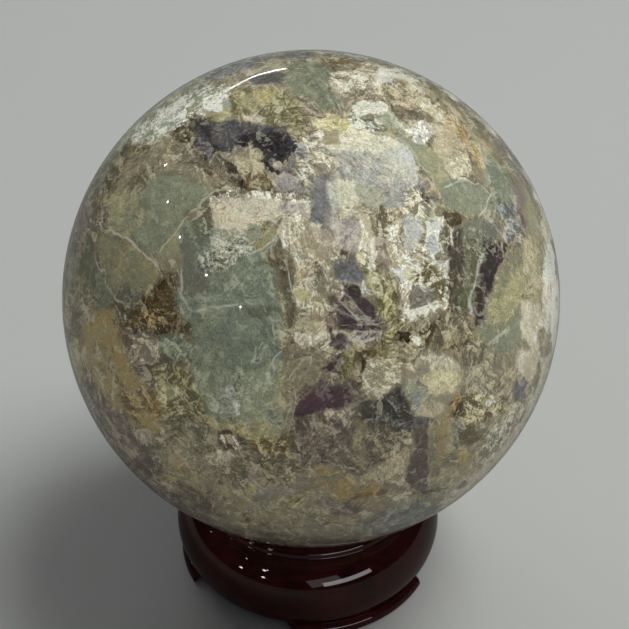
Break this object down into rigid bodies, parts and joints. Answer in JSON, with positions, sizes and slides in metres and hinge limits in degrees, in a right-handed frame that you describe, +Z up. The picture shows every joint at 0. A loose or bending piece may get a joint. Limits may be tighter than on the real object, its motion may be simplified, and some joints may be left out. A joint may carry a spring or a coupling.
{
  "type": "fluorite sphere on a stand",
  "caption": "Polished ball of banded fluorite resting in the dished seat of a low turned rosewood ring stand with carved feet.",
  "frame": {"origin": "centre of the stand's footprint, on the surface it stands on, straight below the middle of the ball", "axes": "+Z up, -Y towards the side that the picture shows, +X to the picture's right"},
  "size_m": [0.1, 0.1, 0.1184],
  "materials": {
    "fluorite": "polished",
    "rosewood": "gloss"
  },
  "bodies": {
    "root": {"fluorite_sphere": "fluorite", "rosewood_stand": "rosewood"}
  },
  "joints": []
}
